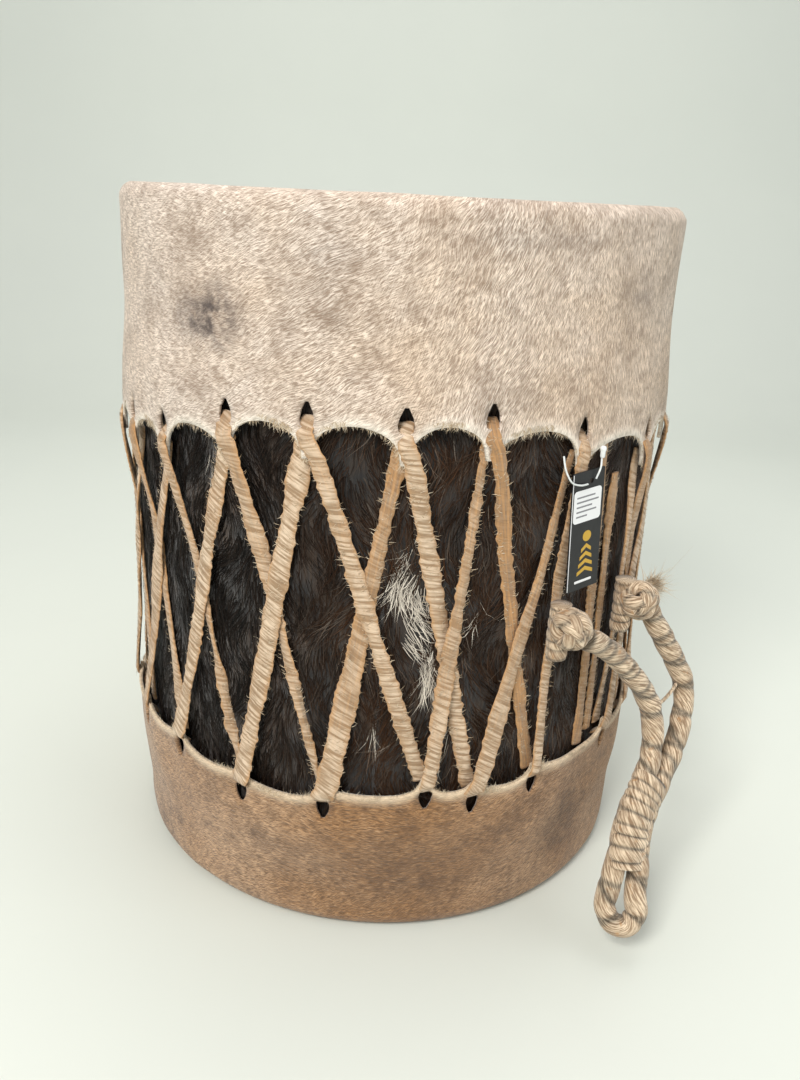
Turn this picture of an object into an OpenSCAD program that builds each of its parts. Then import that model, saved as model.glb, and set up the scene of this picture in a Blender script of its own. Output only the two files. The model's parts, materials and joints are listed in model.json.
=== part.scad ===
// Double-headed hide drum: a hollow wooden shell wrapped in dark long-haired hide, closed top and
// bottom by light hair-on hide heads, laced with hide thongs, with a stiff hide-rope carrying loop
// and a hanging card tag.
// Frame: origin at the centre of the base, on the ground. +Z is up, -Y is the front, +X the right.
// Angles round the drum count from the front (-Y) towards the right (+X).

/* [Drum] */
// Outer radius of the drum at its two heads
drum_r = 250; // [235:1:270]
// Height of the drum from the ground to the top head
drum_h = 615; // [600:1:640]
// Radius of the rounded edge between each head and its skirt
edge_r = 13; // [11:0.5:18]
// Wall thickness of the hollow wooden shell
shell_t = 18; // [12:1:30]

/* [Hides] */
// Thickness of the light hide that makes each head and its skirt
head_t = 4; // [3:0.5:6]
// Thickness of the dark hide and its pile, wrapped on the shell
wrap_t = 6; // [4:0.5:8]
// Gap kept between one layer and the next
layer_gap = 0.4; // [0.3:0.1:0.6]
// How far the laced edge of a skirt is lifted off the shell by the thongs behind it
skirt_lift = 5.5; // [5:0.5:8]
// Height of the tabs' tips below the lacing holes of the top skirt
top_tab = 29; // [24:1:34]
// Height of the tabs' tips above the lacing holes of the bottom skirt
bottom_tab = 18; // [15:1:24]

/* [Lacing] */
// Mean height of the lacing holes in the top skirt
top_hole_z = 450; // [440:1:460]
// Mean height of the lacing holes in the bottom skirt
bottom_hole_z = 136; // [125:1:145]
// Radius of the round end of a lacing hole
hole_r = 6.5; // [6:0.5:8]
// Width of a lacing thong
thong_w = 14; // [10:1:15]
// Thickness of a lacing thong
thong_t = 3.6; // [2.5:0.1:4]

/* [Carrying loop] */
// Diameter of the hide-wrapped rope
rope_d = 19; // [16:1:20]
// Radius of the round knots that hold the rope
knot_r = 18; // [15:1:18]
// Height of the knots above the ground
knot_z = 296; // [290:1:300]

/* [Tag] */
// Width of the card tag
tag_w = 35; // [30:1:40]
// Height of the card tag
tag_h = 101; // [90:1:105]
// Thickness of the card tag
tag_t = 1; // [0.8:0.1:1.5]

/* [Hidden] */
$fn = 96;
HOLES = 22;
LACE_NODES = ["lace_01", "lace_02", "lace_03", "lace_04", "lace_05", "lace_06", "lace_07",
    "lace_08", "lace_09", "lace_10", "lace_11", "lace_12", "lace_13", "lace_14", "lace_15",
    "lace_16", "lace_17", "lace_18", "lace_19", "lace_20", "lace_21", "lace_22"];

HIDE_LIGHT = [0.80, 0.72, 0.62];
HIDE_TAN = [0.70, 0.58, 0.44];
HIDE_DARK = [0.12, 0.09, 0.07];
THONG = [0.76, 0.66, 0.52];

// layers, from the outside in
skirt_in = drum_r - head_t;
wrap_r = skirt_in - layer_gap;
shell_r = wrap_r - wrap_t - layer_gap;
lift_in = skirt_in + skirt_lift;
lift_out = lift_in + head_t;
lift_run = 70;          // height over which a skirt swells out to its laced edge
wrap_margin = 30;       // distance of the dark hide's edges from the heads
shell_bevel = 7;        // bevel on the shell's bearing edges

// radii of a thong's middle line: under and over at a crossing, behind and in front of a tab
under_r = wrap_r + layer_gap + thong_t / 2;
over_r = under_r + thong_t + 0.5;
behind_r = lift_in - 0.9 - thong_t / 2;
front_r = lift_out + layer_gap + thong_t / 2;
through_r = lift_in - 0.5;

// the lacing was cut by eye: each hole's shift from its even place, in degrees and millimetres
first_hole = 2;
top_turn = [0, -2, 0, 5, 5, 3, 1, 0, -1, 1, 2, 0, -2, -1, 1, 2, 3, 5, 4, 1, 1, 0];
top_rise = [10, 14, 0, -12, -3, 2, 6, 0, -5, 3, 8, 2, -6, 0, 5, -4, -12, -19, -17, -16, 4, 10];
low_turn = [7, 0, -3, 3, 2, 0, 1, -2, 0, 2, 0, -1, 2, 1, 0, -2, 1, 2, 2, 2, 3, 4];
low_rise = [9, -1, 4, 12, 6, 0, -4, 3, 6, -2, -5, 0, 4, 2, -3, 1, 0, -3, -1, 4, -10, -6];

function wrap_i(i) = (i + HOLES) % HOLES;
function top_a(i) = first_hole + i * 360 / HOLES + top_turn[wrap_i(i)];
function top_z(i) = top_hole_z + top_rise[wrap_i(i)];
function low_a(i) = first_hole + i * 360 / HOLES + low_turn[wrap_i(i)];
function low_z(i) = bottom_hole_z + low_rise[wrap_i(i)];

function on_drum(a, r, z) = [r * sin(a), -r * cos(a), z];
function mix(a, b, t) = a + (b - a) * t;
function unit(v) = v / norm(v);

// smooth curve through points p, cut into n steps between each two
function spline_at(a, b, c, d, t) = 0.5 * (2 * b + (c - a) * t + (2 * a - 5 * b + 4 * c - d) * t * t
    + (3 * b - a - 3 * c + d) * t * t * t);
function smooth(p, n) = [for (i = [0:len(p) - 2]) for (k = [0:n - 1])
    spline_at(p[max(i - 1, 0)], p[i], p[i + 1], p[min(i + 2, len(p) - 1)], k / n), p[len(p) - 1]];
function along(p, i) = unit(p[min(i + 1, len(p) - 1)] - p[max(i - 1, 0)]);
// the direction a ribbon faces at a point: outward from the drum's axis, square to its run
function facing(p, i) = let (o = unit([p[i][0], p[i][1], 0]), t = along(p, i)) unit(o - (o * t) * t);

// a closed tube along points p. ring is its section, x across and y along the facing direction
module sweep(p, ring) {
    n = len(p);
    m = len(ring);
    pts = [for (i = [0:n - 1]) let (f = facing(p, i), s = cross(f, along(p, i)))
        for (q = ring) p[i] + s * q[0] + f * q[1]];
    sides = [for (i = [0:n - 2]) for (j = [0:m - 1]) let (k = (j + 1) % m)
        [i * m + j, i * m + k, (i + 1) * m + k, (i + 1) * m + j]];
    first = [for (j = [m - 1:-1:0]) j];
    last = [for (j = [0:m - 1]) (n - 1) * m + j];
    polyhedron(points = pts, faces = concat([first], sides, [last]), convexity = 8);
}
function oval(w, h, m) = [for (j = [0:m - 1]) [cos(j * 360 / m) * w / 2, -sin(j * 360 / m) * h / 2]];
function strap(w, t) = [[w / 2, t / 4], [w / 2, -t / 4], [w * 0.4, -t / 2], [-w * 0.4, -t / 2],
    [-w / 2, -t / 4], [-w / 2, t / 4], [-w * 0.4, t / 2], [w * 0.4, t / 2]];

// ---- shell and hides ----

module ring_profile(points, top = 0) {
    rotate_extrude() polygon(top > 0 ? [for (p = points) [p[0], top - p[1]]] : points);
}

module shell() {
    low = head_t;
    high = drum_h - head_t;
    color("burlywood") ring_profile([
        [shell_r - shell_t, low], [shell_r - shell_bevel, low], [shell_r, low + shell_bevel],
        [shell_r, high - shell_bevel], [shell_r - shell_bevel, high], [shell_r - shell_t, high]]);
}

module body_hide() {
    inner = shell_r + layer_gap;
    color(HIDE_DARK) ring_profile([
        [inner, wrap_margin], [wrap_r, wrap_margin],
        [wrap_r, drum_h - wrap_margin], [inner, drum_h - wrap_margin]]);
}

function arc(cx, cy, r, from, to, steps) = [for (k = [0:steps])
    [cx + r * cos(mix(from, to, k / steps)), cy + r * sin(mix(from, to, k / steps))]];

// a head with its skirt, as a profile that runs up from the head's flat face at height 0
module head_blank(reach, top = 0) {
    inner_edge = edge_r - head_t;
    start = reach - lift_run - 60;
    ring_profile(concat(
        [[0, 0]], arc(drum_r - edge_r, edge_r, edge_r, -90, 0, 6),
        [[drum_r, start], [lift_out, start + lift_run], [lift_out, reach],
         [lift_in, reach], [lift_in, start + lift_run], [skirt_in, start]],
        arc(skirt_in - inner_edge, edge_r, inner_edge, 0, -90, 6), [[0, head_t]]), top);
}

// turns a child drawn in the XY plane to face outward at angle a, with its y axis up or down
module facing_out(a, z, up) {
    translate([0, 0, z]) rotate([0, 0, a]) rotate([90, 0, 0]) translate([0, 0, drum_r - 9])
        mirror([0, up > 0 ? 0 : 1, 0]) linear_extrude(24) children();
}

// the arch cut between two tabs, a half oval above the tips. half is half the distance between the
// two tabs' middles, and left and right are the crest's heights above their tips
module arch(half, left, right) {
    tip = 3;
    side = half - tip;
    polygon(concat(
        [for (t = [-90:15:90]) [side * sin(t), (cos(t) - 1) * (t < 0 ? left : right)]],
        [[half + 1, -right - 2], [half + 1, -80], [-half - 1, -80], [-half - 1, -left - 2]]));
}

module teardrop() {
    polygon(concat([for (t = [-200:20:20]) hole_r * [cos(t), sin(t)]], [[1.5, 15.4], [-1.5, 15.4]]));
}

// the arches and lacing holes of one skirt. up is 1 when the tabs hang down, -1 when they stand up
module lace_cuts(angles, heights, tab, dip, up) {
    n = len(angles);
    for (i = [0:n - 1]) {
        j = (i + 1) % n;
        next_a = angles[j] + (j == 0 ? 360 : 0);
        crest = (heights[i] + heights[j]) / 2 - up * dip;
        left = (crest - heights[i]) * up + tab;
        right = (crest - heights[j]) * up + tab;
        half = lift_out * sin((next_a - angles[i]) / 2);
        facing_out((angles[i] + next_a) / 2, crest, up)
            arch(half, left, right);
        facing_out(angles[i], heights[i], up) teardrop();
    }
}

module top_head() {
    angles = [for (i = [0:HOLES - 1]) top_a(i)];
    heights = [for (i = [0:HOLES - 1]) top_z(i)];
    color(HIDE_LIGHT) difference() {
        head_blank(drum_h - min(heights) + top_tab + 9, drum_h);
        lace_cuts(angles, heights, top_tab, 2, 1);
    }
}

module bottom_head() {
    angles = [for (i = [0:HOLES - 1]) low_a(i)];
    heights = [for (i = [0:HOLES - 1]) low_z(i)];
    color(HIDE_TAN) difference() {
        head_blank(max(heights) + bottom_tab + 9);
        lace_cuts(angles, heights, bottom_tab, 6.2, -1);
    }
}

// ---- lacing ----

// one thong run from a top hole to a bottom hole. top_front and low_front say whether that end
// lies in front of its tab and dips into the hole, or stops behind the tab. mid is its radius half
// way down
module run(a0, z0, a1, z1, top_front, low_front, mid, w = thong_w) {
    function at(z) = mix(a0, a1, (z0 - z) / (z0 - z1));
    top_end = top_front
        ? [on_drum(a0, through_r, z0 + 6), on_drum(a0, front_r, z0 - 9),
            on_drum(at(z0 - 30), front_r, z0 - 30)]
        : [on_drum(at(z0 - 14), behind_r, z0 - 14), on_drum(at(z0 - 36), behind_r, z0 - 36)];
    low_end = low_front
        ? [on_drum(at(z1 + 24), front_r, z1 + 24), on_drum(a1, front_r, z1 + 8),
            on_drum(a1, through_r, z1 - 6)]
        : [on_drum(at(z1 + 28), behind_r, z1 + 28), on_drum(at(z1 + 12), behind_r, z1 + 12)];
    zm = (z0 + z1) / 2;
    // the strap settles gently where it comes down from the front of a tab
    settle = 0.09 * (front_r - mid);
    middle = [on_drum(at(zm + 55), mid + (top_front ? settle : 0), zm + 55), on_drum(at(zm), mid, zm),
        on_drum(at(zm - 55), mid + (low_front ? settle : 0), zm - 55)];
    sweep(smooth(concat(top_end, middle, low_end), 2), strap(w, thong_t));
}

// the thong of hole i runs down to the bottom holes on either side: over the next thong on its left
// run, under it on its right. Beside the carrying loop two runs hang straight down and hold it
module lace(i) {
    cut_by_eye = 1.5 * sin(i * 130);
    w = thong_w - abs(cut_by_eye);
    left_low = i == 3 ? 3 : i - 1;
    right_low = i == 2 ? 2 : i + 1;
    color(THONG) {
        run(top_a(i), top_z(i), low_a(left_low), low_z(left_low), false, i != 3,
            i == 0 ? under_r : over_r, w);
        run(top_a(i), top_z(i), low_a(right_low), low_z(right_low), true, i == 2,
            i == 21 || i == 2 ? over_r : under_r, w);
    }
}

// two more thongs lie nearly upright between the carrying loop's knots
module spare_thongs() {
    color(THONG) {
        sweep(smooth([for (p = [[43, 446], [43.5, 400], [44.5, 320], [46, 230], [46.5, 150]])
            on_drum(p[0], under_r, p[1])], 2), strap(thong_w, thong_t));
        sweep(smooth([for (p = [[48, 408], [48, 360], [48.7, 300], [49.6, 230], [50, 160]])
            on_drum(p[0], under_r, p[1])], 2), strap(thong_w - 2, thong_t));
    }
}

// ---- carrying loop ----

knot_reach = drum_r + 27;      // distance of the knots' centres from the drum's axis
knot_a = 32.5;                 // angle of the front knot
knot_b = 52;                   // angle of the side knot
tie_r = 11;                    // radius of the turns that tie a knot to its thong
lean = 15;                     // how far the loop leans out of upright
front_knot_at = on_drum(knot_a, knot_reach, knot_z);
side_knot_at = on_drum(knot_b, knot_reach, knot_z);
mid_a = (knot_a + knot_b) / 2;
loop_u = unit(side_knot_at - front_knot_at);
loop_d = [sin(mid_a) * sin(lean), -cos(mid_a) * sin(lean), -cos(lean)];
loop_n = [sin(mid_a) * cos(lean), -cos(mid_a) * cos(lean), sin(lean)];

// rope route from the front knot to the side knot: across, down and out of the loop's own plane
rope_route = [[16, 12, 0], [39, 26, 0], [59, 44, 0], [77, 65, 0], [90, 84, 0], [97, 104, 0],
    [96, 124, 0], [88, 145, 0], [72, 163, -1], [52, 181, -2], [40, 203, -3], [31, 222, -5],
    [23, 240, -8], [17, 256, -9], [19, 268, -4], [27, 272, 4], [35, 264, 9], [39, 248, 8],
    [48, 232, 5], [57, 214, 3], [68, 194, 2], [90, 175, 1], [112, 160, 0], [130, 142, 0],
    [142, 124, 0], [149, 106, 0], [149, 90, 0], [142, 72, 0], [131, 53, 0], [120, 34, 0],
    [108, 14, 0]];
// middle line of the binding round the loop's two runs, and the lashing strand between them
binding_route = [[88, 163, 0], [72, 175, 0], [58, 190, 0], [48, 208, 0], [41, 225, 0]];
lashing_route = [[106, 100, 0], [118, 97, 1], [130, 93, 1], [139, 90, 0]];

function in_loop(p) = front_knot_at + loop_u * p[0] + loop_d * p[1] + loop_n * p[2];
function loop_path(p, n) = smooth([for (q = p) in_loop(q)], n);

module handle_rope() {
    color(HIDE_LIGHT) sweep(loop_path(rope_route, 2), oval(rope_d, rope_d, 12));
}

module handle_binding() {
    color(HIDE_TAN) sweep(loop_path(binding_route, 2), oval(2 * rope_d + 4, rope_d + 5, 16));
}

module handle_lashing() {
    color("tan") sweep(loop_path(lashing_route, 2), oval(3, 3, 8));
}

module knot(a) {
    translate(on_drum(a, knot_reach, knot_z)) sphere(knot_r);
    translate(on_drum(a, over_r + thong_t / 2 + tie_r - 2, knot_z - 17)) cylinder(r = tie_r, h = 34);
}

module knot_front() {
    color(HIDE_LIGHT) knot(knot_a);
}

module knot_side() {
    color(HIDE_LIGHT) knot(knot_b);
}

// the frayed end of the rope's hide, standing out of the side knot
module frayed_end() {
    tuft = [[57.5, 272, 301], [60.5, 276, 302], [64, 279, 296], [66.5, 280, 286]];
    color("wheat") sweep(smooth([for (p = tuft) on_drum(p[0], p[1], p[2])], 2), oval(9, 6, 8));
}

// ---- tag ----

tag_a = 36;                    // angle the tag faces
tag_reach = drum_r + 12.5;     // distance of the card from the drum's axis
tag_tilt = 4.3;                // how far it hangs off plumb, its foot to the right
tag_top = 422.5;
tag_side = -3.3;               // its top edge's middle, left of the angle it faces
tag_hole_drop = 9;
tag_hole_side = 3.3;           // the hole, right of the card's middle
tag_hole_r = 2.2;
label_size = [30, 27];
label_drop = 15;
label_t = 0.3;

// places a child drawn on the tag: x across, y out from the card, z up from the tag's top edge
module on_tag() {
    rotate([0, 0, tag_a]) translate([tag_side, -tag_reach, tag_top]) rotate([0, -tag_tilt, 0])
        mirror([0, 1, 0]) children();
}

module tag_card() {
    color([0.05, 0.05, 0.05]) on_tag() difference() {
        translate([-tag_w / 2, -tag_t / 2, -tag_h]) cube([tag_w, tag_t, tag_h]);
        translate([tag_hole_side, 0, -tag_hole_drop]) rotate([90, 0, 0])
            cylinder(r = tag_hole_r, h = 4 * tag_t, center = true, $fn = 32);
    }
}

module tag_label() {
    color("white") on_tag() translate([-label_size[0] / 2, tag_t / 2, -label_drop - label_size[1]])
        cube([label_size[0], label_t, label_size[1]]);
}

// the plastic loop: it comes round the left of the thongs, through the card's hole from behind,
// and up on the right to its anchor. Points are across, out from the card and up, on the tag's plane
loop_left = [[-34, 1, 15], [-32, 3, 4], [-25, 4, -6], [-14, 3, -10], [-5, 2, -10.5]];
loop_right = [[3, 2.5, -7], [5, 4, 2], [6, 3, 9]];

function tag_point(p) = let (o = [sin(tag_a), -cos(tag_a), 0], t = [cos(tag_a), sin(tag_a), 0])
    o * (tag_reach + p[1]) + t * p[0] + [0, 0, tag_top + p[2]];

module tag_loop() {
    color("white") {
        sweep(smooth([for (p = loop_left) tag_point(p)], 2), oval(1.4, 1.4, 8));
        sweep(smooth([for (p = loop_right) tag_point(p)], 2), oval(1.4, 1.4, 8));
    }
}

module tag_anchor() {
    color("white") translate(tag_point([6.5, 3, 9.5])) {
        cylinder(r = 2, h = 9, $fn = 32);
        translate([0, 0, 9]) sphere(2.6, $fn = 32);
    }
}

shell();
body_hide();
top_head();
bottom_head();
for (i = [0:HOLES - 1]) {
    lace(i);
}
spare_thongs();
knot_front();
knot_side();
frayed_end();
handle_rope();
handle_binding();
handle_lashing();
tag_card();
tag_label();
tag_loop();
tag_anchor();
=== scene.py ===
"""Looks of a double-headed hide drum: light hide heads, dark long-haired body hide, hide lacing,
a stiff hide-rope carrying loop and a blank swing tag. Lengths in this file are millimetres until
make_mesh() turns them into metres. Angles round the drum count from the front (-Y) to the right."""

import json
import math

import bpy
import numpy as np
from mathutils import Matrix, Vector, geometry, kdtree

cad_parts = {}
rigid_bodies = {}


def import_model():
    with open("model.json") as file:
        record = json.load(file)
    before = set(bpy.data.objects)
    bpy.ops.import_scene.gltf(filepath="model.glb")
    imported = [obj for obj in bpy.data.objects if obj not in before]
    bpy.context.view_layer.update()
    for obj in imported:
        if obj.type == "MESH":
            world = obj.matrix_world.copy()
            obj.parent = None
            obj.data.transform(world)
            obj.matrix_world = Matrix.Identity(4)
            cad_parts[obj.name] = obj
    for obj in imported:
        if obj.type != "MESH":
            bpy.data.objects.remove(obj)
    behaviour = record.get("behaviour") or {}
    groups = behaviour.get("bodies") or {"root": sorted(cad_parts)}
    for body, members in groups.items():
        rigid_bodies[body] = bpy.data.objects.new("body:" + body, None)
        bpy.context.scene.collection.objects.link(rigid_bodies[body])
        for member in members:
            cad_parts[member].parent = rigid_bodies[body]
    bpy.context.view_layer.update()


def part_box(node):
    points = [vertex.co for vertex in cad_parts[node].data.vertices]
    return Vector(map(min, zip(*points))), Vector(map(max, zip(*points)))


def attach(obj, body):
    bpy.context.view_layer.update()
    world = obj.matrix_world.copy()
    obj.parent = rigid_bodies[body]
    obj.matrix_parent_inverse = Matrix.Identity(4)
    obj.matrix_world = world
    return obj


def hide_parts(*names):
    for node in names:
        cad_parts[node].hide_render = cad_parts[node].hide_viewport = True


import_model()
MM = 0.001
rng = np.random.default_rng(7)

# ---- sizes shared with the CAD frame ----

DRUM_R = 250.0
DRUM_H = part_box("top_head")[1][2] / MM
EDGE_R = 13.0
WRAP_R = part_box("body_hide")[1][0] / MM
LIFT_OUT = 255.5
HOLES = 22
FIRST_HOLE = 2.0
TOP_HOLE_Z, LOW_HOLE_Z = 450.0, 136.0
TOP_TURN = [0, -2, 0, 5, 5, 3, 1, 0, -1, 1, 2, 0, -2, -1, 1, 2, 3, 5, 4, 1, 1, 0]
TOP_RISE = [10, 14, 0, -12, -3, 2, 6, 0, -5, 3, 8, 2, -6, 0, 5, -4, -12, -19, -17, -16, 4, 10]
LOW_TURN = [7, 0, -3, 3, 2, 0, 1, -2, 0, 2, 0, -1, 2, 1, 0, -2, 1, 2, 2, 2, 3, 4]
LOW_RISE = [9, -1, 4, 12, 6, 0, -4, 3, 6, -2, -5, 0, 4, 2, -3, 1, 0, -3, -1, 4, -10, -6]
MM_PER_DEG = DRUM_R * math.pi / 180


def hole_angle(i, turn):
    return FIRST_HOLE + i * 360 / HOLES + turn[i % HOLES]


TOP_HOLES = [(hole_angle(i, TOP_TURN), TOP_HOLE_Z + TOP_RISE[i]) for i in range(HOLES)]
LOW_HOLES = [(hole_angle(i, LOW_TURN), LOW_HOLE_Z + LOW_RISE[i]) for i in range(HOLES)]

# ---- geometry helpers ----


def on_drum(a, r, z):
    """Points at angle a in degrees, radius r and height z."""
    a = np.radians(a)
    return np.stack(np.broadcast_arrays(r * np.sin(a), -r * np.cos(a), z), -1).astype(float)


def unit(v):
    return v / np.maximum(np.linalg.norm(v, axis=-1, keepdims=True), 1e-9)


def smoothstep(t):
    t = np.clip(t, 0, 1)
    return t * t * (3 - 2 * t)


def waves(points, size, seed, count=10):
    """Smooth noise between about -1 and 1 at 2-D or 3-D points, with lumps of about that size."""
    r = np.random.default_rng(seed)
    points = np.asarray(points, float)
    k = r.normal(size=(count, points.shape[-1]))
    k = k / np.linalg.norm(k, axis=1, keepdims=True) * r.uniform(0.6, 1.6, (count, 1)) * math.pi / size
    return np.sin(points @ k.T + r.uniform(0, 2 * math.pi, count)).sum(-1) / math.sqrt(count)


def make_mesh(name, verts, quads=None, tris=None, mats=(), attrs=None, face_mat=None, body="drum"):
    """A mesh piece that rides on a body, from vertices in millimetres."""
    quads = np.asarray(quads if quads is not None else np.zeros((0, 4)), int).reshape(-1, 4)
    tris = np.asarray(tris if tris is not None else np.zeros((0, 3)), int).reshape(-1, 3)
    verts = np.asarray(verts, float)
    me = bpy.data.meshes.new(name)
    me.vertices.add(len(verts))
    me.vertices.foreach_set("co", (verts * MM).astype(np.float32).ravel())
    loops = np.concatenate([quads.ravel(), tris.ravel()])
    me.loops.add(len(loops))
    me.loops.foreach_set("vertex_index", loops.astype(np.int32))
    starts = np.concatenate([np.arange(len(quads)) * 4, len(quads) * 4 + np.arange(len(tris)) * 3])
    me.polygons.add(len(starts))
    me.polygons.foreach_set("loop_start", starts.astype(np.int32))
    if face_mat is not None:
        me.polygons.foreach_set("material_index", np.asarray(face_mat, np.int32))
    me.update(calc_edges=True)
    me.validate()
    me.shade_smooth()
    for key, values in (attrs or {}).items():
        values = np.asarray(values, np.float32)
        kind = "FLOAT_VECTOR" if values.ndim == 2 else "FLOAT"
        layer = me.attributes.new(key, kind, "POINT")
        layer.data.foreach_set("vector" if values.ndim == 2 else "value", values.ravel())
    for m in mats:
        me.materials.append(m)
    ob = bpy.data.objects.new(name, me)
    bpy.context.scene.collection.objects.link(ob)
    if body:
        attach(ob, body)
    return ob


def join_parts(parts):
    """Joins (verts, quads, tris, attrs) parts into one set."""
    verts, quads, tris, attrs, base = [], [], [], {}, 0
    for v, q, t, a in parts:
        verts.append(v)
        quads.append(np.asarray(q, int).reshape(-1, 4) + base)
        tris.append(np.asarray(t, int).reshape(-1, 3) + base)
        for key, values in a.items():
            attrs.setdefault(key, []).append(values)
        base += len(v)
    return (np.concatenate(verts), np.concatenate(quads), np.concatenate(tris),
            {k: np.concatenate(v) for k, v in attrs.items()})


def catmull(points, steps):
    """A smooth curve through points, cut into so many steps between each two."""
    p = np.asarray(points, float)
    p = np.vstack([p[:1], p, p[-1:]])
    t = (np.arange(steps) / steps)[:, None]
    out = [0.5 * (2 * p[i] + (p[i + 1] - p[i - 1]) * t
                  + (2 * p[i - 1] - 5 * p[i] + 4 * p[i + 1] - p[i + 2]) * t ** 2
                  + (3 * p[i] - p[i - 1] - 3 * p[i + 1] + p[i + 2]) * t ** 3)
           for i in range(1, len(p) - 2)]
    return np.vstack(out + [p[-2:-1]])


def even(points, step):
    """Resamples a curve at even steps of about that length."""
    p = np.asarray(points, float)
    d = np.concatenate([[0], np.cumsum(np.linalg.norm(np.diff(p, axis=0), axis=1))])
    s = np.linspace(0, d[-1], max(int(d[-1] / step) + 1, 4))
    return np.stack([np.interp(s, d, p[:, k]) for k in range(3)], 1), s


def frames(path, facing):
    """Side and outward directions along a path, where facing gives each point's outward hint."""
    along = unit(np.gradient(path, axis=0))
    out = unit(facing - (facing * along).sum(1, keepdims=True) * along)
    return along, np.cross(out, along), out


def carry_frames(path, first):
    """Side and outward directions carried along a path without twisting."""
    along = unit(np.gradient(path, axis=0))
    out = np.zeros_like(path)
    out[0] = first
    for i in range(len(path)):
        o = out[i - 1] if i else np.asarray(first, float)
        out[i] = o - (o @ along[i]) * along[i]
        out[i] /= np.linalg.norm(out[i])
    return along, np.cross(out, along), out


def sweep(path, side, out, ring_x, ring_y, closed_ends=True):
    """Skins rings along a path. ring_x and ring_y are (points, ring) offsets in millimetres."""
    n, m = ring_x.shape
    verts = path[:, None, :] + ring_x[..., None] * side[:, None, :] + ring_y[..., None] * out[:, None, :]
    verts = verts.reshape(-1, 3)
    i = np.arange(n - 1)[:, None] * m
    j = np.arange(m)[None, :]
    k = (j + 1) % m
    quads = np.stack([i + j, i + k, i + m + k, i + m + j], -1).reshape(-1, 4)
    tris = np.zeros((0, 3), int)
    if closed_ends:
        verts = np.vstack([verts, path[:1], path[-1:]])
        a, b = n * m, n * m + 1
        j = np.arange(m)
        k = (j + 1) % m
        tris = np.vstack([np.stack([k, j, np.full(m, a)], 1),
                          np.stack([(n - 1) * m + j, (n - 1) * m + k, np.full(m, b)], 1)])
    return verts, quads, tris


def strands(roots, normal, lay, length, width, rise, droop, seed, segs=2, top_r=None):
    """Flat tapering hairs. Each starts at a root, leans from the normal onto its lay direction, and
    bends as it goes. droop pulls the tip back to the surface. Returns verts, quads, tris and the
    share along each hair."""
    r = np.random.default_rng(seed)
    n = len(roots)
    lay = unit(lay - (lay * normal).sum(1, keepdims=True) * normal)
    side = np.cross(normal, lay)
    bend = r.normal(0, 0.35, n)[:, None]
    rows = []
    for k in range(segs + 1):
        t = k / segs
        forward = lay + side * bend * t
        lift = length * rise * (t - droop * t * t)
        p = roots + length[:, None] * t * forward * 0.96 + normal * lift[:, None]
        if top_r is not None:
            rad = np.linalg.norm(p[:, :2], axis=1)
            p[:, :2] *= (np.minimum(rad, top_r) / rad)[:, None]
        w = width[:, None] * (1 - t) ** 0.7 / 2
        turn = r.normal(0, 0.35, n)[:, None]
        across = unit(side + normal * turn)
        rows.append((p, w, across))
    verts = []
    for k, (p, w, across) in enumerate(rows):
        if k < segs:
            verts += [p - across * w, p + across * w]
        else:
            verts.append(p)
    per = 2 * segs + 1
    verts = np.stack(verts, 1).reshape(-1, 3)
    base = np.arange(n)[:, None] * per
    quads = np.concatenate([base + np.array([[2 * k, 2 * k + 1, 2 * k + 3, 2 * k + 2]])
                            for k in range(segs - 1)]) if segs > 1 else np.zeros((0, 4), int)
    tris = base + np.array([[2 * segs - 2, 2 * segs - 1, 2 * segs]])
    share = np.tile(np.repeat(np.arange(segs + 1) / segs, [2] * segs + [1]), n)
    return verts, quads, tris, share, per


# ---- materials ----


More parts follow.
